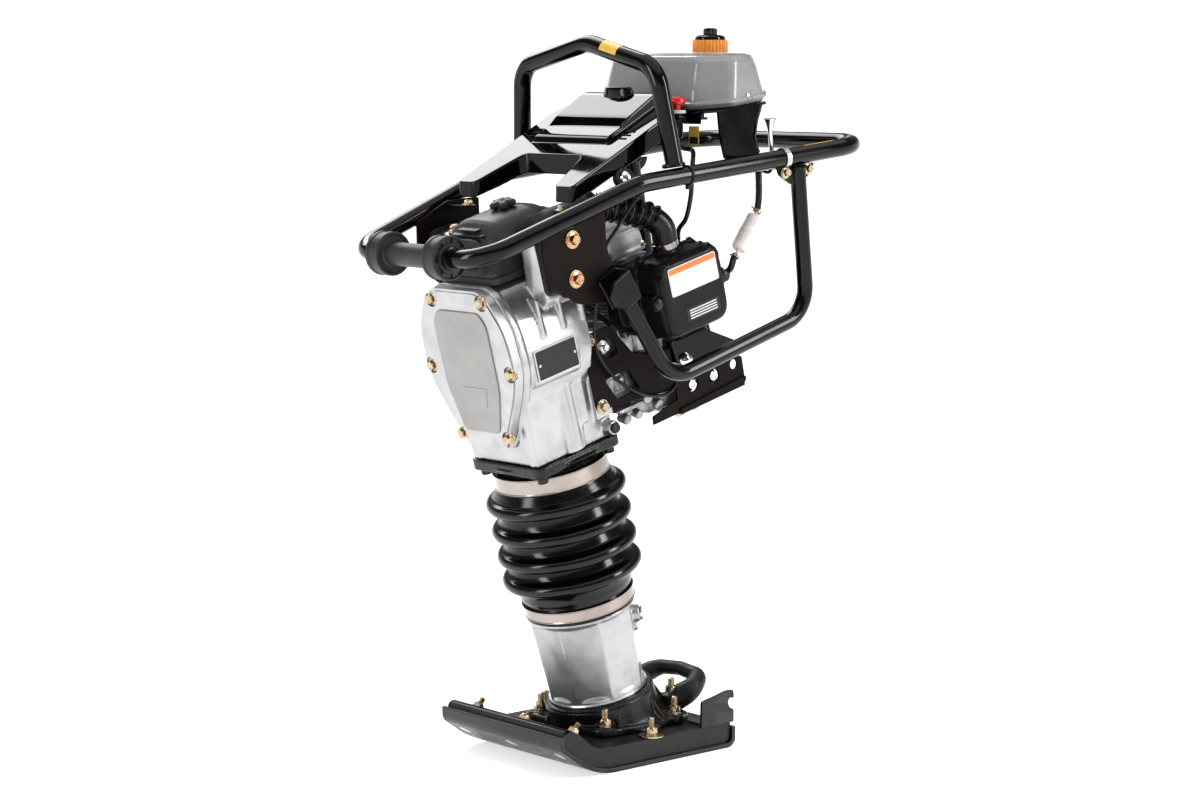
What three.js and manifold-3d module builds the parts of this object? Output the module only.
// Jumping jack rammer: a two-stroke-long tamping foot under a leaning crankcase and engine,
// with an operator's handle frame hung on rubber mounts. Millimetres, +Z up, -Y is the travel
// direction, +Y is the operator's side. The origin is on the ground where the leg's axis meets it.
import * as THREE from "three";
import { ConvexGeometry } from "three/addons/geometries/ConvexGeometry.js";
import { mergeVertices } from "three/addons/utils/BufferGeometryUtils.js";
import Module from "manifold-3d";

const wasm = await Module();
wasm.setup();

// ---------------------------------------------------------------- driving dimensions
const LEAN = THREE.MathUtils.degToRad(15); // the leg leans forward by this
const GAP = 0.4; // clearance between pieces that touch

const SHOE = { halfWidth: 140, top: 38, sole: 7, front: -157, rear: 126, lipY: -211, lipZ: 68 };
const LEG = { baseRadius: 71.5, topRadius: 83, base: 62, shoulder: 235, bore: 52, tube: 60, top: 424 };
const BELLOWS = { bottom: 238, top: 466, crest: 108, valley: 84, inner: 76, sides: 24 };
const BELLOWS_FOLDS = [297, 336, 377, 420]; // heights of the beads
const CASE = { front: -92, rear: 72, bottom: 495.4, axis: 665, top: 775 };
const COVER_DEPTH = 14;
const CASE_FLANGE = { halfWidth: 80, front: -84, rear: 78, bottom: 481, top: 495, neck: 79.5 };
const GUIDE = { outer: 67, inner: 61, bottom: 300, top: 512 };
const GEAR = { module: 3, wheelTeeth: 50, pinionTeeth: 10, front: 22, rear: 40 };
const CRANK_THROW = 22;
const ROD = { length: 95, halfThickness: 12, pin: 8, crankPin: 9 };
const ENGINE_AXIS = CASE.axis - (GEAR.module * (GEAR.wheelTeeth + GEAR.pinionTeeth)) / 2;
const HANDLE_TUBE = 13.5; // radii of the three frame tubes
const GUARD_TUBE = 12;
const TUBE_WALL = 2.5;
const FRONT_BAR = { y: -371, z: 774 };
const PLATE_X = 143; // inner face of the handle's side plates
const PLATE = 4;
const ROLLER = { disc: 32.25, sleeve: 17, inner: 51.7, outer: 80.3, bore: 14.2 };
const COWL = { halfWidth: 132, front: -190, rear: 40, thickness: 4, frontTop: 871, rise: 0.54 };
const TANK = { halfLength: 150, front: 75, rear: 215, bottom: 976, tilt: 0.137, top: 1061 };
const CAP = { x: 50, y: 160, radius: 27.5, bottom: 1063.4, top: 1089 };

// ---------------------------------------------------------------- solids
function solidOf(geometry) {
  const source = geometry.index ? geometry.toNonIndexed() : geometry;
  const bare = new THREE.BufferGeometry();
  bare.setAttribute("position", source.getAttribute("position"));
  const merged = mergeVertices(bare, 1e-3);
  const corners = [...merged.index.array];
  const triangles = [];
  for (let i = 0; i < corners.length; i += 3) {
    const [a, b, c] = corners.slice(i, i + 3);
    if (a !== b && b !== c && c !== a) triangles.push(a, b, c);
  }
  const build = (list) =>
    new wasm.Manifold(
      new wasm.Mesh({
        numProp: 3,
        vertProperties: new Float32Array(merged.attributes.position.array),
        triVerts: new Uint32Array(list),
      }),
    );
  const solid = build(triangles);
  return solid.volume() < 0 ? build(triangles.reverse()) : solid;
}

function geometryOf(solid) {
  const mesh = solid.getMesh();
  const points = new Float32Array(mesh.numVert * 3);
  for (let i = 0; i < mesh.numVert; i++) {
    points.set(mesh.vertProperties.subarray(i * mesh.numProp, i * mesh.numProp + 3), i * 3);
  }
  const geometry = new THREE.BufferGeometry();
  geometry.setAttribute("position", new THREE.BufferAttribute(points, 3));
  geometry.setIndex(new THREE.BufferAttribute(mesh.triVerts, 1));
  return geometry;
}

const join = (...pieces) => geometryOf(pieces.map(solidOf).reduce((a, b) => a.add(b)));
const cut = (body, ...tools) => geometryOf(tools.map(solidOf).reduce((a, b) => a.subtract(b), solidOf(body)));
const common = (a, b) => geometryOf(solidOf(a).intersect(solidOf(b)));

// The same piece on the other side of the machine.
function mirrored(geometry) {
  return geometryOf(solidOf(geometry.clone().applyMatrix4(new THREE.Matrix4().makeScale(-1, 1, 1))));
}
const bothSides = (geometry) => [geometry, mirrored(geometry)];

// A box from its lowest to its highest corner.
function block([x0, y0, z0], [x1, y1, z1]) {
  const box = new THREE.BoxGeometry(x1 - x0, y1 - y0, z1 - z0);
  return box.translate((x0 + x1) / 2, (y0 + y1) / 2, (z0 + z1) / 2);
}

// A round bar, or a cone where the second radius differs, between two points.
function bar(from, to, radius, sides = 16, endRadius = radius) {
  const a = new THREE.Vector3(...from);
  const b = new THREE.Vector3(...to);
  const along = b.clone().sub(a);
  const cylinder = new THREE.CylinderGeometry(endRadius, radius, along.length(), sides);
  const turn = new THREE.Quaternion().setFromUnitVectors(new THREE.Vector3(0, 1, 0), along.normalize());
  return cylinder.applyQuaternion(turn).translate(...a.add(b).divideScalar(2));
}

const hull = (points) => new ConvexGeometry(points.map((p) => new THREE.Vector3(...p)));

// An outline whose corners [a, b, radius] are rounded where a radius is given.
function outline(corners) {
  const shape = new THREE.Shape();
  corners.forEach(([a, b, radius = 0], i) => {
    const corner = new THREE.Vector2(a, b);
    const before = new THREE.Vector2(...corners.at(i - 1)).sub(corner).normalize();
    const after = new THREE.Vector2(...corners[(i + 1) % corners.length]).sub(corner).normalize();
    const start = corner.clone().addScaledVector(before, radius);
    const end = corner.clone().addScaledVector(after, radius);
    if (i === 0) shape.moveTo(start.x, start.y);
    else shape.lineTo(start.x, start.y);
    if (radius) shape.quadraticCurveTo(a, b, end.x, end.y);
  });
  return shape.closePath();
}

const extruded = (shape, depth, curveSegments = 3) =>
  new THREE.ExtrudeGeometry(shape, { depth, bevelEnabled: false, curveSegments });

// Plates: an outline in one pair of axes, thick along the third.
function plateYZ(shape, x0, x1, segments) {
  const basis = new THREE.Matrix4().makeBasis(
    new THREE.Vector3(0, 1, 0),
    new THREE.Vector3(0, 0, 1),
    new THREE.Vector3(1, 0, 0),
  );
  return extruded(shape, x1 - x0, segments).applyMatrix4(basis).translate(x0, 0, 0);
}
function plateXZ(shape, y0, y1, segments) {
  return extruded(shape, y1 - y0, segments).rotateX(Math.PI / 2).translate(0, y1, 0);
}
const plateXY = (shape, z0, z1, segments) => extruded(shape, z1 - z0, segments).translate(0, 0, z0);

// A turned piece about +Z from a closed profile of [radius, height].
function turned(profile, segments = 24) {
  const closed = [...profile, profile[0]].map(([r, h]) => new THREE.Vector2(r, h));
  return new THREE.LatheGeometry(closed, segments).rotateX(Math.PI / 2);
}
const ring = (outer, inner, z0, z1, segments) =>
  turned([[inner, z0], [outer, z0], [outer, z1], [inner, z1]], segments);

// A path of straight runs with a round bend at each inner corner [x, y, z, bend radius].
class BentPath extends THREE.Curve {
  constructor(corners, stepAngle = 0.3) {
    super();
    this.stations = [];
    const at = corners.map((c) => new THREE.Vector3(c[0], c[1], c[2]));
    corners.forEach(([, , , radius = 0], i) => {
      if (!radius || i === 0 || i === corners.length - 1) {
        this.stations.push(at[i]);
        return;
      }
      const inward = at[i - 1].clone().sub(at[i]).normalize();
      const outward = at[i + 1].clone().sub(at[i]).normalize();
      const turn = Math.PI - inward.angleTo(outward);
      const middle = inward.clone().add(outward).normalize();
      const centre = at[i].clone().addScaledVector(middle, radius / Math.cos(turn / 2));
      const axis = inward.clone().cross(outward).normalize();
      const first = at[i].clone().addScaledVector(inward, radius * Math.tan(turn / 2)).sub(centre);
      const steps = Math.max(2, Math.ceil(turn / stepAngle));
      for (let k = 0; k <= steps; k++) {
        this.stations.push(first.clone().applyAxisAngle(axis, -(turn * k) / steps).add(centre));
      }
    });
  }
  get steps() {
    return this.stations.length - 1;
  }
  getPointAt(u) {
    return this.stations[Math.round(u * this.steps)].clone();
  }
  getTangentAt(u) {
    const i = Math.round(u * this.steps);
    const run = (k) => this.stations[k + 1].clone().sub(this.stations[k]).normalize();
    if (i === 0) return run(0);
    if (i === this.steps) return run(i - 1);
    return run(i - 1).add(run(i)).normalize();
  }
}

function swept(path, radius, sides, steps) {
  const section = new THREE.Shape().absarc(0, 0, radius, 0, 2 * Math.PI, false);
  return new THREE.ExtrudeGeometry(section, { steps, curveSegments: sides / 2, extrudePath: path });
}
function tube(corners, radius, sides = 10, stepAngle = 0.3) {
  const path = new BentPath(corners, stepAngle);
  return swept(path, radius, sides, path.steps);
}
// A hose or cable through hand-placed points on one smooth curve.
function hose(points, radius, steps, sides = 8) {
  const path = new THREE.CatmullRomCurve3(points.map((p) => new THREE.Vector3(...p)));
  return swept(path, radius, sides, steps);
}
// A tube that is the same on both sides, given from the middle outwards.
function symmetricTube(corners, radius, sides, stepAngle) {
  const other = corners.slice(1).reverse().map(([x, ...rest]) => [-x, ...rest]);
  return tube([...other, ...corners], radius, sides, stepAngle);
}

// A gear wheel about +Y with straight-flanked teeth and generous backlash.
function gear(teeth, y0, y1, phase, segmentsBore) {
  const pitch = (GEAR.module * teeth) / 2;
  const corners = [];
  for (let i = 0; i < teeth; i++) {
    const tooth = (angle, radius) => {
      const a = phase + ((i + angle) * 2 * Math.PI) / teeth;
      corners.push([radius * Math.cos(a), radius * Math.sin(a)]);
    };
    const root = pitch - 1.3 * GEAR.module;
    const tip = pitch + 0.9 * GEAR.module;
    tooth(-0.24, root);
    tooth(-0.1, tip);
    tooth(0.1, tip);
    tooth(0.24, root);
  }
  return plateXZ(outline(corners), y0, y1, segmentsBore);
}

// A point given in the leaning frame, in the upright one.
function upright(x, s, t) {
  const cos = Math.cos(LEAN);
  const sin = Math.sin(LEAN);
  return [x, s * cos - t * sin, s * sin + t * cos];
}

// ---------------------------------------------------------------- scene graph
const machine = new THREE.Group();
const leaning = new THREE.Group(); // x, rearward across the leg, and up along the leg
leaning.rotation.x = LEAN;
machine.add(leaning);

const finish = (color, roughness, metalness) => ({ color, roughness, metalness });
const CAST_ALUMINIUM = finish(0xc9cbcd, 0.42, 0.85);
const STEEL = finish(0xb9bbbd, 0.25, 1);
const ZINC = finish(0xc9b37a, 0.35, 0.9);
const GLOSS_BLACK = finish(0x0b0b0c, 0.12, 0);
const SATIN_BLACK = finish(0x1a1412, 0.4, 0.1);
const DARK_GREY = finish(0x333436, 0.6, 0.1);
const RUBBER = finish(0x101011, 0.3, 0);
const PLASTIC = finish(0x2b2c2e, 0.55, 0);

function place(group, name, geometry, look) {
  const mesh = new THREE.Mesh(geometryOf(solidOf(geometry)), new THREE.MeshStandardMaterial(look));
  mesh.name = name;
  group.add(mesh);
}
function placePair(group, name, geometry, look) {
  bothSides(geometry).forEach((side, i) => place(group, name + ["_right", "_left"][i], side, look));
}

// ---------------------------------------------------------------- foot
// The steel sole: flat under the board, swept up at the front and a little at the rear.
function solePlate() {
  const { front, rear, lipY, lipZ, sole, halfWidth } = SHOE;
  const shape = outline([
    [lipY, lipZ],
    [front, 0, 30],
    [rear, 0, 7],
    [rear + 9, 9, 5],
    [rear + 9, 32],
    [rear + 9 - sole, 32],
    [rear + 9 - sole, sole + 5, 4],
    [rear - 4, sole, 3],
    [front + 3.5, sole, 26],
    [lipY + 7, lipZ],
  ]);
  return plateYZ(shape, -halfWidth, halfWidth, 5);
}

// The laminated board that the foot stands on, with its front wall behind the sole's lip.
function shoeBoard() {
  const { front, rear, lipY, lipZ, sole, halfWidth, top } = SHOE;
  const shape = outline([
    [lipY + 8, lipZ + 1],
    [front + 4, sole + GAP, 26],
    [rear - 5, sole + GAP, 6],
    [rear + 1.5, sole + 14],
    [rear + 1.5, top],
    [-147, top],
    [-186, lipZ + 1, 5],
  ]);
  return plateYZ(shape, -halfWidth, halfWidth, 5);
}

// The cast flange: a base plate, a leaning socket for the leg and ears for the bolts.
function footFlange() {
  const top = SHOE.top + GAP;
  const base = plateXY(outline([
    [-92, -98, 16], [92, -98, 16], [98, 0], [76, 104, 16], [-76, 104, 16], [-98, 0],
  ]), top, top + 12);
  const socket = bar(upright(0, 0, 30), upright(0, 0, 91), 88, 32, 80);
  const below = block([-200, -200, -50], [200, 200, top]);
  const bore = bar(upright(0, 0, LEG.base - 1), upright(0, 0, 120), LEG.baseRadius + GAP, 32);
  return cut(join(base, socket), below, bore);
}

// The spring cylinder: an eight-sided casting below, a ground tube above, closed by a lip round the rod.
function leg() {
  const { baseRadius, topRadius, base, shoulder, bore, tube: radius, top } = LEG;
  const foot = bar([0, 0, base], [0, 0, base + 34], baseRadius, 32);
  const casting = new THREE.CylinderGeometry(topRadius, 73.5, shoulder - base - 30, 8)
    .rotateY(Math.PI / 8)
    .rotateX(Math.PI / 2)
    .translate(0, 0, (shoulder + base + 30) / 2);
  const collar = bar([0, 0, shoulder - 2], [0, 0, shoulder + 27], 79, 32);
  const upper = bar([0, 0, shoulder], [0, 0, top], radius, 32);
  const sightPlug = bar([50, 50, 213], [65, 65, 213], 11, 6);
  const chamber = bar([0, 0, base + 13], [0, 0, top - 14], bore, 32);
  const rodHole = bar([0, 0, top - 20], [0, 0, top + 5], 17, 20);
  return cut(join(foot, casting, collar, upper, sightPlug), chamber, rodHole);
}

// A coil spring about the leg's axis between two heights.
class Helix extends THREE.Curve {
  constructor(radius, turns, from, to) {
    super();
    Object.assign(this, { radius, turns, from, to });
  }
  getPoint(u) {
    const angle = 2 * Math.PI * this.turns * u;
    const height = this.from + (this.to - this.from) * u;
    return new THREE.Vector3(this.radius * Math.cos(angle), this.radius * Math.sin(angle), height);
  }
}
const spring = (from, to, turns) => swept(new Helix(38, turns, from, to), 6, 6, turns * 10);

// The rubber bellows: four fat beads with cones between them, two cuffs and an even inner wall.
function bellows() {
  const { bottom, top, crest, valley, inner, sides } = BELLOWS;
  const beads = BELLOWS_FOLDS.flatMap((t) => [
    [valley + 3, t - 11], [crest - 4, t - 8], [crest, t], [crest - 4, t + 8], [crest - 14, t + 12],
  ]);
  return turned([
    [79 + 1.3, bottom],
    [valley, bottom],
    [valley, bottom + 21],
    [valley + 4, bottom + 36],
    ...beads,
    [valley + 7, top - 28],
    [valley + 0.8, top - 22],
    [valley + 0.8, top],
    [CASE_FLANGE.neck + 1.5, top],
    [CASE_FLANGE.neck + 1.5, 438],
    [inner, 436],
    [inner, 266],
    [79 + 1.3, 264],
  ], sides);
}

// A worm-drive band with its screw housing at the rear.
function band(radius, z0, z1) {
  const screw = block([-16, radius + 0.4, z0 + 3], [16, radius + 9, z1 - 3]);
  return join(ring(radius + 2.2, radius, z0, z1, BELLOWS.sides), screw);
}

// The lifting loop behind the leg: a bent bar from two bolted lugs.
function rearLoop() {
  const top = SHOE.top + 12 + 2 * GAP;
  const loop = symmetricTube([
    [0, 158, 96], [44, 154, 92, 20], [60, 118, 76, 20], [44, 106, 62],
  ], 12, 10, 0.4);
  const lugs = bothSides(bar([44, 88, top], [44, 88, 62], 19, 16));
  const links = bothSides(block([32, 90, top], [58, 112, 70]));
  return join(loop, ...lugs, ...links);
}

// The carrying hook at the shoe's rear corner, on a tab held by the board.
function hookBracket() {
  const top = SHOE.top + GAP;
  const hook = plateYZ(outline([
    [64, top], [130, top], [130, 62, 3], [121, 66, 3], [119, 74, 4], [124, 80, 3], [129, 76],
    [132, 76], [130, 88, 5], [116, 86, 5], [86, 80, 4], [66, 78, 3],
  ]), 133, 137);
  return join(hook, block([96, 74, top], [134, 100, top + 4]));
}

place(machine, "sole_plate", solePlate(), DARK_GREY);
place(machine, "shoe_board", shoeBoard(), DARK_GREY);
place(machine, "foot_flange", footFlange(), GLOSS_BLACK);
place(machine, "rear_loop", rearLoop(), PLASTIC);
place(machine, "hook_bracket", hookBracket(), DARK_GREY);
place(leaning, "leg", leg(), CAST_ALUMINIUM);
place(leaning, "spring_lower", spring(83, 238, 5), STEEL);
place(leaning, "spring_upper", spring(269, 402, 5), STEEL);
place(leaning, "bellows", bellows(), RUBBER);
place(leaning, "clamp_lower", band(BELLOWS.valley + GAP, 239, 257), STEEL);
place(leaning, "clamp_upper", band(BELLOWS.valley + 1.4, 446, 465), STEEL);

// ---------------------------------------------------------------- percussion drive
const CRANK_PIN_HEIGHT = CASE.axis + CRANK_THROW;
const WRIST_HEIGHT = CRANK_PIN_HEIGHT - ROD.length;

// The piston rod: a stud and nut below, a fork for the connecting rod above.
function pistonRod() {
  const shank = bar([0, 0, 262.4], [0, 0, 510], 15, 20);
  const stud = bar([0, 0, 236], [0, 0, 264], 9, 16);
  const nut = bar([0, 0, 234], [0, 0, 245.6], 15, 6);
  const fork = block([-18, -20, 506], [18, 20, WRIST_HEIGHT + 18]);
  const slot = block([-30, -13, 529], [30, 13, 700]);
  const pinHole = bar([0, -30, WRIST_HEIGHT], [0, 30, WRIST_HEIGHT], ROD.pin + 0.3, 16);
  return cut(join(shank, stud, nut, fork), slot, pinHole);
}

function connectingRod() {
  const half = ROD.halfThickness;
  const bigEnd = bar([0, -half, CRANK_PIN_HEIGHT], [0, half, CRANK_PIN_HEIGHT], 22, 24);
  const smallEnd = bar([0, -half, WRIST_HEIGHT], [0, half, WRIST_HEIGHT], 15, 20);
  const shank = block([-8, -7, WRIST_HEIGHT], [8, 7, CRANK_PIN_HEIGHT]);
  const wristPin = bar([0, -half - 0.5, WRIST_HEIGHT], [0, half + 0.5, WRIST_HEIGHT], ROD.pin, 16);
  const eye = bar([0, -30, CRANK_PIN_HEIGHT], [0, 30, CRANK_PIN_HEIGHT], ROD.crankPin + 0.3, 20);
  return cut(join(bigEnd, smallEnd, shank, wristPin), eye);
}

// The crank wheel: teeth, hub, an overhung crank pin in front and its shaft behind.
function crankGear() {
  const wheel = gear(GEAR.wheelTeeth, GEAR.front, GEAR.rear, Math.PI / 2 + Math.PI / GEAR.wheelTeeth);
  const windows = [0, 1, 2, 3, 4].map((i) => {
    const a = Math.PI / 2 + ((i + 1) * Math.PI) / 3;
    const centre = [48 * Math.cos(a), 48 * Math.sin(a)];
    return bar([centre[0], 0, centre[1]], [centre[0], 60, centre[1]], 12, 12);
  });
  const pin = bar([0, -13, CRANK_THROW], [0, 30, CRANK_THROW], ROD.crankPin, 16);
  const shaft = bar([0, 30, 0], [0, 70, 0], 14, 20);
  return cut(join(wheel, pin, shaft), ...windows).translate(0, 0, CASE.axis);
}

// The drive pinion, its shaft and the clutch drum that turns it.
function clutchDrum() {
  const pinion = gear(GEAR.pinionTeeth, GEAR.front, GEAR.rear + 1, Math.PI / 2);
  const shaft = bar([0, 40, 0], [0, 90, 0], 9, 16);
  const drum = cut(bar([0, 84, 0], [0, 116, 0], 42, 28), bar([0, 89, 0], [0, 120, 0], 38, 28));
  return join(pinion, shaft, drum).translate(0, 0, ENGINE_AXIS);
}

place(leaning, "piston_rod", pistonRod(), STEEL);
place(leaning, "spring_piston", ring(51, 9.5, 246, 262, 24), STEEL);
place(leaning, "connecting_rod", connectingRod(), STEEL);
place(leaning, "crank_gear", crankGear(), STEEL);
place(leaning, "clutch_drum", clutchDrum(), STEEL);

// ---------------------------------------------------------------- crankcase
// Half of the front face's outline, from the bottom up.
const FACE = [[45, 530, 14], [93, 618, 18], [105, 655, 16], [99, 716, 20], [72, 764, 12]];
const faceOutline = () =>
  outline([...FACE, [50, CASE.top, 7], [-50, CASE.top, 7], ...FACE.map(([a, ...b]) => [-a, ...b]).reverse()]);

function crankcase() {
  const { front, rear, bottom, axis } = CASE;
  const shell = plateXZ(faceOutline(), front, 44, 3);
  const rearHousing = plateXZ(outline([
    [-60, 540, 10], [60, 540, 10], [82, 600, 14], [82, 720, 14], [58, 762, 10], [-58, 762, 10],
    [-82, 720, 14], [-82, 600, 14],
  ]), 43, rear - 12);
  const skirt = hull([-1, 1].flatMap((side) => [
    [side * 74, -80, bottom], [side * 74, rear, bottom], [side * 70, front + 4, 560], [side * 74, rear, 560],
    [side * 86, front + 8, 620], [side * 78, rear - 12, 640],
  ]));
  const rearPad = bar([0, rear - 20, ENGINE_AXIS], [0, rear, ENGINE_AXIS], 62, 28);
  const lugs = bothSides(block([60, 40, 528], [85.5, rear, 662]));
  const bosses = bothSides(hull([
    [70, -34, 700], [104, -20, 735], [104, 44, 735], [70, 54, 700],
    [78, -30, 826], [104, -26, 832], [104, 48, 832], [78, 50, 826],
  ]));
  const ribs = [-40, 0, 40].flatMap((s) => bothSides(block([60, s - 3, 690], [103, s + 3, 745])));
  const chamber = bar([0, front - 1, axis], [0, 43, axis], 84, 28);
  const throat = block([-44, front - 1, 540], [44, 43, 640]);
  const bore = bar([0, 0, bottom - 1], [0, 0, 560], 70, 28);
  const shaftHole = bar([0, 40, axis], [0, 90, axis], 14.6, 20);
  const pinionHole = bar([0, 40, ENGINE_AXIS], [0, 90, ENGINE_AXIS], 9.6, 16);
  return cut(
    join(shell, rearHousing, skirt, rearPad, ...lugs, ...bosses, ...ribs),
    chamber, throat, bore, shaftHole, pinionHole,
  );
}

function gearCover() {
  const back = CASE.front - GAP;
  const plate = plateXZ(faceOutline(), back - COVER_DEPTH, back, 3);
  const panel = plateXZ(outline([
    [-40, 556, 8], [40, 556, 8], [60, 625, 10], [61, 726, 12], [48, 742, 8], [-48, 742, 8], [-61, 726, 12],
    [-60, 625, 10],
  ]), back - COVER_DEPTH - 4, back - COVER_DEPTH + 1, 3);
  return join(plate, panel);
}

function crankcaseFlange() {
  const { halfWidth, front, rear, bottom, top, neck } = CASE_FLANGE;
  const plate = plateXY(outline([
    [-halfWidth, front, 12], [halfWidth, front, 12], [halfWidth, rear, 12], [-halfWidth, rear, 12],
  ]), bottom, top, 3);
  const spigot = bar([0, 0, 441], [0, 0, bottom + 1], neck, 32);
  return cut(join(plate, spigot), bar([0, 0, 430], [0, 0, 500], GUIDE.outer + GAP, 32));
}

place(leaning, "crankcase", crankcase(), CAST_ALUMINIUM);
place(leaning, "gear_cover", gearCover(), CAST_ALUMINIUM);
place(leaning, "crankcase_flange", crankcaseFlange(), SATIN_BLACK);
place(leaning, "guide_cylinder", ring(GUIDE.outer, GUIDE.inner, GUIDE.bottom, GUIDE.top, 32), STEEL);

// ---------------------------------------------------------------- air cleaner on the crankcase
function precleanerCover() {
  const dome = hull([-1, 1].flatMap((side) => [
    [side * 62, -72, 794], [side * 62, 66, 794], [side * 62, -66, 830], [side * 62, 66, 836],
    [side * 48, -50, 856], [side * 48, 60, 860], [side * 30, -30, 862], [side * 30, 50, 863],
  ]));
  const duct = bar([38, 30, 826], [70, 128, 832], 23, 20);
  const inside = block([-54, -62, 780], [54, 58, 838]);
  return cut(join(dome, duct), inside);
}
const precleanerBase = () => join(
  block([-66, -78, CASE.top + GAP], [66, 70, 793.6]),
  block([-30, -40, 793], [30, 36, 800]),
);
const wingKnob = () => join(
  bar([0, 15, 863.6], [0, 15, 872], 9, 12),
  block([-22, 11, 868], [22, 19, 882]),
);

place(leaning, "precleaner_base", precleanerBase(), PLASTIC);
place(leaning, "precleaner_cover", precleanerCover(), PLASTIC);
place(leaning, "wing_knob", wingKnob(), RUBBER);

// ---------------------------------------------------------------- engine
const alongShaft = (s0, s1, radius, sides) => bar([0, s0, ENGINE_AXIS], [0, s1, ENGINE_AXIS], radius, sides);

function engineBlock() {
  const housing = alongShaft(72 + GAP, 126, 60, 28);
  const body = hull([-1, 1].flatMap((side) => [
    [side * 66, 124, 522], [side * 72, 130, 560], [side * 66, 124, 640], [side * 52, 124, 652],
    [side * 66, 240, 522], [side * 72, 240, 560], [side * 66, 240, 640], [side * 52, 240, 652],
    [side * 50, 130, 511], [side * 50, 240, 511],
  ]));
  const feet = bothSides(block([38, 204, 487], [62, 238, 515]));
  return cut(join(housing, body, ...feet), alongShaft(60, 124, 46, 28), alongShaft(100, 250, 10.5, 16));
}

// Three wide cooling fins stand for the barrel's fin pack.
function cylinder() {
  const barrel = block([-24, 150, 652.4], [44, 214, 738]);
  const fins = [664, 684, 704, 724].map((t) => block([-36, 140, t], [54, 224, t + 8]));
  return join(barrel, ...fins);
}
const valveCover = () => hull([
  [-34, 146, 738.4], [54, 146, 738.4], [54, 222, 738.4], [-34, 222, 738.4],
  [-30, 150, 772], [50, 150, 772], [50, 218, 772], [-30, 218, 772],
  [-22, 158, 784], [42, 158, 784], [42, 210, 784], [-22, 210, 784],
]);

function recoilCover() {
  const drum = join(alongShaft(240 + GAP, 300, 86, 32), alongShaft(299, 314, 70, 32));
  const ropeGuide = bar([-45, 290, 625], [-45, 318, 625], 9, 14);
  const flywheelRoom = alongShaft(240, 276, 78, 32);
  const pulleyRoom = alongShaft(270, 302, 48, 28);
  const ropeHole = bar([-45, 286, 625], [-45, 320, 625], 3.5, 10);
  return cut(join(drum, ropeGuide), flywheelRoom, pulleyRoom, ropeHole);
}
function engineShaft() {
  const shaft = alongShaft(97, 268, 10, 16);
  const slots = [block([-3, 90, 500], [3, 120, 560]), block([-3, 90, 590], [3, 120, 660])];
  const clutch = cut(alongShaft(96, 113, 36, 24), ...slots);
  return join(shaft, clutch);
}
const flywheel = () => cut(alongShaft(244, 264, 74, 32), alongShaft(230, 280, 10.4, 16));
const recoilPulley = () => alongShaft(279, 297, 40, 24);
const starterHandle = () => join(
  bar([-45, 318.6, 625], [-45, 334, 625], 6, 12),
  bar([-88, 338, 625], [-2, 338, 625], 9, 12),
);

// The muffler is a pressed can with an open outlet.
function muffler() {
  const wall = 2.5;
  const can = (inset) => plateYZ(outline([
    [130 + inset, 650 + inset, 22 - inset], [236 - inset, 650 + inset, 22 - inset],
    [236 - inset, 742 - inset, 22 - inset], [130 + inset, 742 - inset, 22 - inset],
  ]), -148 + inset, -82 - inset, 3);
  const pipe = bar([-83, 182, 694], [-36.6, 182, 694], 14, 16);
  const tail = bar([-147, 215, 720], [-160, 215, 720], 11, 14);
  return cut(join(can(0), pipe, tail), can(wall), bar([-140, 215, 720], [-162, 215, 720], 8.5, 14));
}
const carburettor = () => join(
  bar([54.6, 182, 694], [65.5, 182, 694], 14, 16),
  bar([60, 182, 655], [60, 182, 690], 5.2, 12),
  bar([60, 188, 686], [60, 264, 686], 4, 10),
);

// The air box: a back shell on the carburettor and the deep cover the operator unclips.
const airBoxBase = () => plateYZ(outline([
  [112, 640, 10], [258, 640, 10], [258, 738, 10], [112, 738, 10],
]), 66, 94.6);
function airBoxCover() {
  const shell = plateYZ(outline([
    [146, 624, 16], [262, 624, 16], [262, 742, 16], [146, 742, 16],
  ]), 95, 163);
  const inlet = bar([118, 222, 736], [118, 222, 754], 20, 20);
  return cut(join(shell, inlet), block([90, 154, 634], [155, 254, 732]));
}
const intakeHose = () => hose([
  [71.6, 133, 832.4], [80, 158, 830], [92, 186, 822], [108, 211, 806], [117.4, 222, 784], [118, 222, 756],
], 24, 14, 12);

function engineBracket() {
  const plate = outline([
    [48, 657, 8], [96, 662, 10], [159, 591, 8], [198, 520, 4], [198, 485], [157, 487], [52, 528, 6],
  ]);
  const windows = [
    [[76, 640, 5], [100, 632, 5], [118, 606, 5], [84, 600, 5]],
    [[84, 580, 6], [128, 574, 6], [150, 536, 6], [100, 534, 6]],
  ];
  return cut(plateYZ(plate, 86, 90), ...windows.map((window) => plateYZ(outline(window), 80, 96)));
}
function engineCradle() {
  const floor = block([-90, 199, 482], [90, 338, 486]);
  const sides = bothSides(block([86, 199, 484], [90, 338, 520]));
  return cut(join(floor, ...sides), block([-36, 225, 470], [36, 320, 500]));
}

place(leaning, "engine_block", engineBlock(), CAST_ALUMINIUM);
place(leaning, "cylinder", cylinder(), CAST_ALUMINIUM);
place(leaning, "valve_cover", valveCover(), finish(0xb4b6b8, 0.5, 0.2));
place(leaning, "recoil_cover", recoilCover(), GLOSS_BLACK);
place(leaning, "engine_shaft", engineShaft(), STEEL);
place(leaning, "flywheel", flywheel(), CAST_ALUMINIUM);
place(leaning, "recoil_pulley", recoilPulley(), PLASTIC);
place(leaning, "starter_handle", starterHandle(), RUBBER);
place(leaning, "muffler", muffler(), SATIN_BLACK);
place(leaning, "carburettor", carburettor(), CAST_ALUMINIUM);
place(leaning, "air_box_base", airBoxBase(), PLASTIC);
place(leaning, "air_box_cover", airBoxCover(), PLASTIC);
place(leaning, "intake_hose", intakeHose(), RUBBER);
placePair(leaning, "engine_bracket", engineBracket(), SATIN_BLACK);
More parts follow.
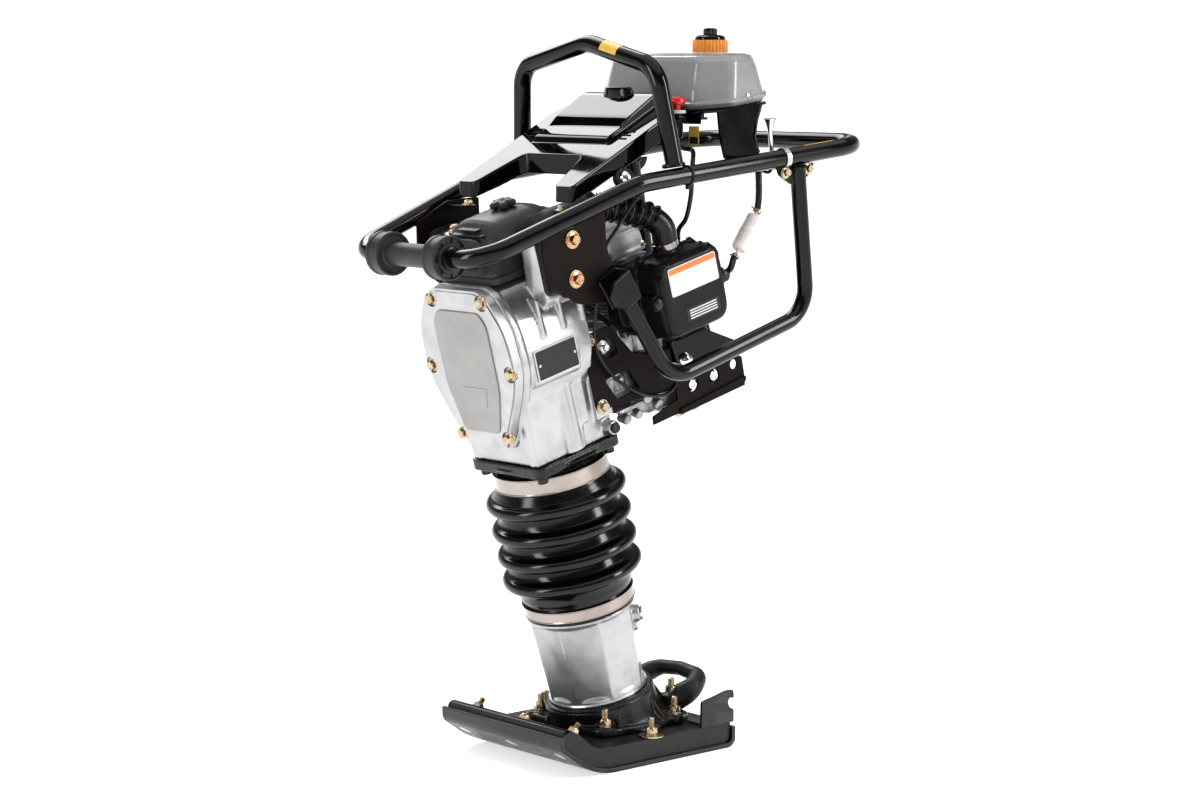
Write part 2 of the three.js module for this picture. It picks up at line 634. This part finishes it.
place(leaning, "engine_cradle", engineCradle(), SATIN_BLACK);

// ---------------------------------------------------------------- handle frame
const rubberMount = () => plateYZ(outline([
  [-26, 742, 12], [46, 742, 12], [46, 832, 12], [-26, 832, 12],
]), 104 + GAP, PLATE_X - GAP);

function sidePlate() {
  const plate = plateYZ(outline([
    [-258, 810], [-256, 762, 14], [-232, 728, 12], [-190, 702, 10], [-134, 703, 10], [-102, 719, 8],
    [-140, 778, 14], [-140, 846],
  ]), PLATE_X, PLATE_X + PLATE);
  return join(plate, block([100, -200, 832], [PLATE_X + 1, -178, 836]));
}

const REAR_BAR = [0, 362, 926];
const HANDLE_BEND = [179, -98, 875, 110];
const hollow = (solidAt, radius) => cut(solidAt(radius), solidAt(radius - TUBE_WALL));

// The closed loop: front bar, rising sides and the operator's rear bar, with a drain hole below.
function handleLoop() {
  const loop = hollow((radius) => {
    const half = tube([
      [-1, FRONT_BAR.y, FRONT_BAR.z], [147, FRONT_BAR.y, FRONT_BAR.z, 55], HANDLE_BEND,
      [196, REAR_BAR[1], REAR_BAR[2], 65], [-1, REAR_BAR[1], REAR_BAR[2]],
    ], radius, 10, 0.3);
    return join(half, mirrored(half));
  }, HANDLE_TUBE);
  const [x, y, z] = REAR_BAR;
  return cut(loop, bar([x, y, z - 2 * HANDLE_TUBE], [x, y, z], 2.5, 8));
}
const handleHoop = () => hollow((radius) => symmetricTube([
  [0, -44, 1078, 70], [153, -45, 1042, 45], [174, -28, 899.4],
], radius, 10, 0.3), HANDLE_TUBE);

// A side guard hoop from the handle tube down round the engine and forward to the side plate.
function guard() {
  const hoop = (radius) => tube([
    [188, 212, 894.6], [175, 248, 668, 52], [172, -8, 584, 45], [166, -112, 718],
  ], radius, 10, 0.3);
  const foot = hull([
    [148, -130, 712], [148, -104, 738], [148, -84, 718], [148, -108, 694],
    [168, -130, 712], [168, -104, 738], [168, -84, 718], [168, -108, 694],
  ].map(([x, ...rest]) => [x === 148 ? PLATE_X + PLATE + GAP : x, ...rest]));
  const ear = hull([
    [186, 172, 891], [190, 172, 891], [186, 244, 897], [190, 244, 897], [186, 206, 866], [190, 206, 866],
  ]);
  return cut(join(hoop(GUARD_TUBE), foot, ear), hoop(GUARD_TUBE - TUBE_WALL));
}

// The front bar's roller: two rimmed wheels on one sleeve.
function frontRoller() {
  const { disc, sleeve, inner, outer, bore } = ROLLER;
  const profile = [
    [bore, -outer], [disc - 2, -outer], [disc, -outer + 2], [disc, -inner - 2], [disc - 3, -inner], [sleeve, -inner + 6],
    [sleeve, inner - 6], [disc - 3, inner], [disc, inner + 2], [disc, outer - 2], [disc - 2, outer], [bore, outer],
  ];
  return turned(profile, 28).rotateY(Math.PI / 2).translate(0, FRONT_BAR.y, FRONT_BAR.z);
}

// The sloping cover between the hoop's feet: a plate on two forward legs with turned-down sides,
// and a raised hood over its middle.
function cowl() {
  const { halfWidth, front, rear, thickness, frontTop, rise } = COWL;
  const top = (y) => frontTop + rise * (y - front);
  const halfPlan = [
    [halfWidth, 15, 30], [halfWidth, front, 4], [92, front, 6], [76, -140, 12], [65, -110, 10],
  ];
  const plan = outline([
    [88, rear, 10], ...halfPlan, ...halfPlan.map(([x, ...rest]) => [-x, ...rest]).reverse(), [-88, rear, 10],
  ]);
  const slope = outline([
    [front, frontTop - 24], [front, frontTop, 6], [rear, top(rear)], [rear, top(rear) - 36],
  ]);
  const below = outline([
    [front + thickness, frontTop - 60], [front + thickness, top(front + thickness) - thickness],
    [rear - thickness, top(rear - thickness) - thickness], [rear - thickness, frontTop - 60],
  ]);
  const hood = (inset) => hull([-1, 1].flatMap((side) => [
    [side * (90 - inset), -98 + inset, 905], [side * (90 - inset), rear - inset, 975],
    [side * (86 - inset), -97 + inset, 928 - inset], [side * (78 - inset), -48, 962 - inset],
    [side * (76 - inset), 22, 1006 - inset], [side * (76 - inset), rear - inset, 994 - inset],
  ]));
  const plate = common(plateXY(plan, 800, 1100, 4), plateYZ(slope, -halfWidth, halfWidth, 3));
  const underside = plateYZ(below, thickness - halfWidth, halfWidth - thickness);
  const ventBox = block([-30, 4, 996], [30, 30, 1012]);
  return cut(join(cut(join(plate, hood(0)), underside), ventBox), hood(thickness));
}

// The tank's tray, its two side brackets on the handle tube, the arms to the cowl and the switch body.
function tankFrame() {
  const tray = hull([-1, 1].flatMap((side) => [72, 192].flatMap((y) => {
    const z = TANK.bottom + TANK.tilt * (y - 75) - GAP;
    return [[side * 155, y, z], [side * 155, y, z - 4]];
  })));
  const brackets = bothSides(hull([
    [152, 78, 975], [157, 78, 975], [152, 168, 987], [157, 168, 987],
    [166, 60, 910], [171, 60, 910], [167, 128, 914], [172, 128, 914],
  ]));
  const arms = bothSides(block([40, COWL.rear + GAP, 962], [66, 150, 975]));
  const switchBody = bar([92, 52, 936], [92, 52, 978], 9.5, 16);
  const stalk = join(block([60, 68, 962], [96, 76, 974]), block([86, 56, 962], [96, 72, 974]));
  const buttonHole = bar([92, 52, 968], [92, 52, 980], 6.4, 16);
  return cut(join(tray, ...brackets, ...arms, switchBody, stalk), buttonHole);
}

function fuelTank() {
  const { halfLength, front, rear, bottom, tilt, top } = TANK;
  const rim = (y) => bottom + tilt * (y - front);
  const corners = [-1, 1].flatMap((side) => [
    ...[[100, front], [148, front + 36], [148, rear - 34], [112, rear]].flatMap(([x, y]) => [
      [side * x, y, rim(y)], [side * x, y, rim(y) + 12],
    ]),
    [side * (halfLength - 56), 96, top - 10], [side * (halfLength - 26), 122, top - 12],
    [side * (halfLength - 26), 180, top - 8], [side * (halfLength - 56), 196, top - 8],
    [side * 84, 110, top], [side * 100, 128, top], [side * 100, 176, top], [side * 84, 184, top],
  ]);
  const neck = bar([CAP.x, CAP.y, top - 10], [CAP.x, CAP.y, CAP.bottom - GAP], 21, 20);
  return join(hull(corners), neck);
}
const fuelCap = () => join(
  bar([CAP.x, CAP.y, CAP.bottom], [CAP.x, CAP.y, CAP.top], CAP.radius, 24),
  bar([CAP.x, CAP.y, CAP.top - 1], [CAP.x, CAP.y, 1093], 22, 20, 18),
  bar([CAP.x, CAP.y, 1092], [CAP.x, CAP.y, 1101], 9, 12),
);
const stopButton = () => join(
  bar([92, 52, 978.4], [92, 52, 988], 6, 14),
  bar([92, 52, 986], [92, 52, 998], 13, 18, 9),
);
const throttleBracket = () => join(
  block([169.6, 172, 888], [173, 190, 914]),
  bar([164, 181, 894], [173, 181, 894], 4, 10),
);
const throttleLever = () => join(
  bar([160, 181, 906], [169.2, 181, 906], 8, 16),
  bar([164.6, 181, 906], [166, 175, 948], 4, 10),
  bar([166, 175, 946], [166.6, 173, 964], 4, 10, 8),
);

placePair(leaning, "rubber_mount", rubberMount(), RUBBER);
placePair(machine, "side_plate", sidePlate(), SATIN_BLACK);
place(machine, "handle_loop", handleLoop(), GLOSS_BLACK);
place(machine, "handle_hoop", handleHoop(), GLOSS_BLACK);
placePair(machine, "guard", guard(), GLOSS_BLACK);
place(machine, "front_roller", frontRoller(), PLASTIC);
place(machine, "cowl", cowl(), GLOSS_BLACK);
place(machine, "tank_frame", tankFrame(), GLOSS_BLACK);
place(machine, "fuel_tank", fuelTank(), finish(0x8b8d90, 0.3, 0));
place(machine, "fuel_cap", fuelCap(), finish(0xe88a2e, 0.4, 0));
place(machine, "stop_button", stopButton(), finish(0xd5262b, 0.35, 0));
place(machine, "throttle_bracket", throttleBracket(), STEEL);
place(machine, "throttle_lever", throttleLever(), STEEL);

// ---------------------------------------------------------------- hoses and cables
const FILTER_TOP = [166, 147, 818];
const FILTER_FOOT = [166, 111, 770];
const fuelHoseUpper = () => hose([
  [128, 148, 980.8], [129, 148.5, 968], [144, 152, 940], [160, 155, 895], [166, 152.4, 852], [166, 149.3, 826.6],
], 5, 16);
const fuelFilter = () => join(
  bar(FILTER_TOP, FILTER_FOOT, 13.5, 16),
  bar([166, 148, 825], FILTER_TOP, 3, 10),
  bar(FILTER_FOOT, [166, 105, 762], 3, 10),
);
const fuelHoseLower = () => hose([
  [166, 104.3, 761.1], [165.4, 100.6, 756], upright(158, 290, 690), upright(140, 292, 682),
  upright(112, 290, 683), upright(80, 284, 686), upright(62, 276, 686), upright(60, 265.4, 686),
], 5, 16);
const switchCable = () => hose([
  [92, 52, 935.2], [92, 51, 926], [106, 42, 914], [134, 32, 904], [156, 24, 890], [164, 24, 868],
  [160, 38, 842], [142, 56, 822], upright(108, 280, 758), upright(66, 278, 714), upright(34, 266, 690),
  upright(26, 260, 674), upright(26, 260, 658),
], 3.6, 30, 6);
const throttleCable = () => hose([
  [164, 181, 888.8], [160, 178, 878], [150, 158, 868], [146, 120, 864], [150, 70, 862], [154, 10, 856],
  [150, -34, 842], [140, -64, 818], [132, -88, 786], upright(128, 92, 730), upright(118, 84, 690),
  upright(106, 88, 640), upright(102, 108, 596), upright(100, 146, 566), upright(97, 176, 562),
  upright(90, 198, 566), upright(82, 205, 568), upright(73.4, 206, 568),
], 2.6, 36, 6);

place(machine, "fuel_hose_upper", fuelHoseUpper(), RUBBER);
place(machine, "fuel_filter", fuelFilter(), finish(0xf1e4de, 0.3, 0));
place(machine, "fuel_hose_lower", fuelHoseLower(), RUBBER);
place(machine, "switch_cable", switchCable(), RUBBER);
place(machine, "throttle_cable", throttleCable(), RUBBER);

export default machine;
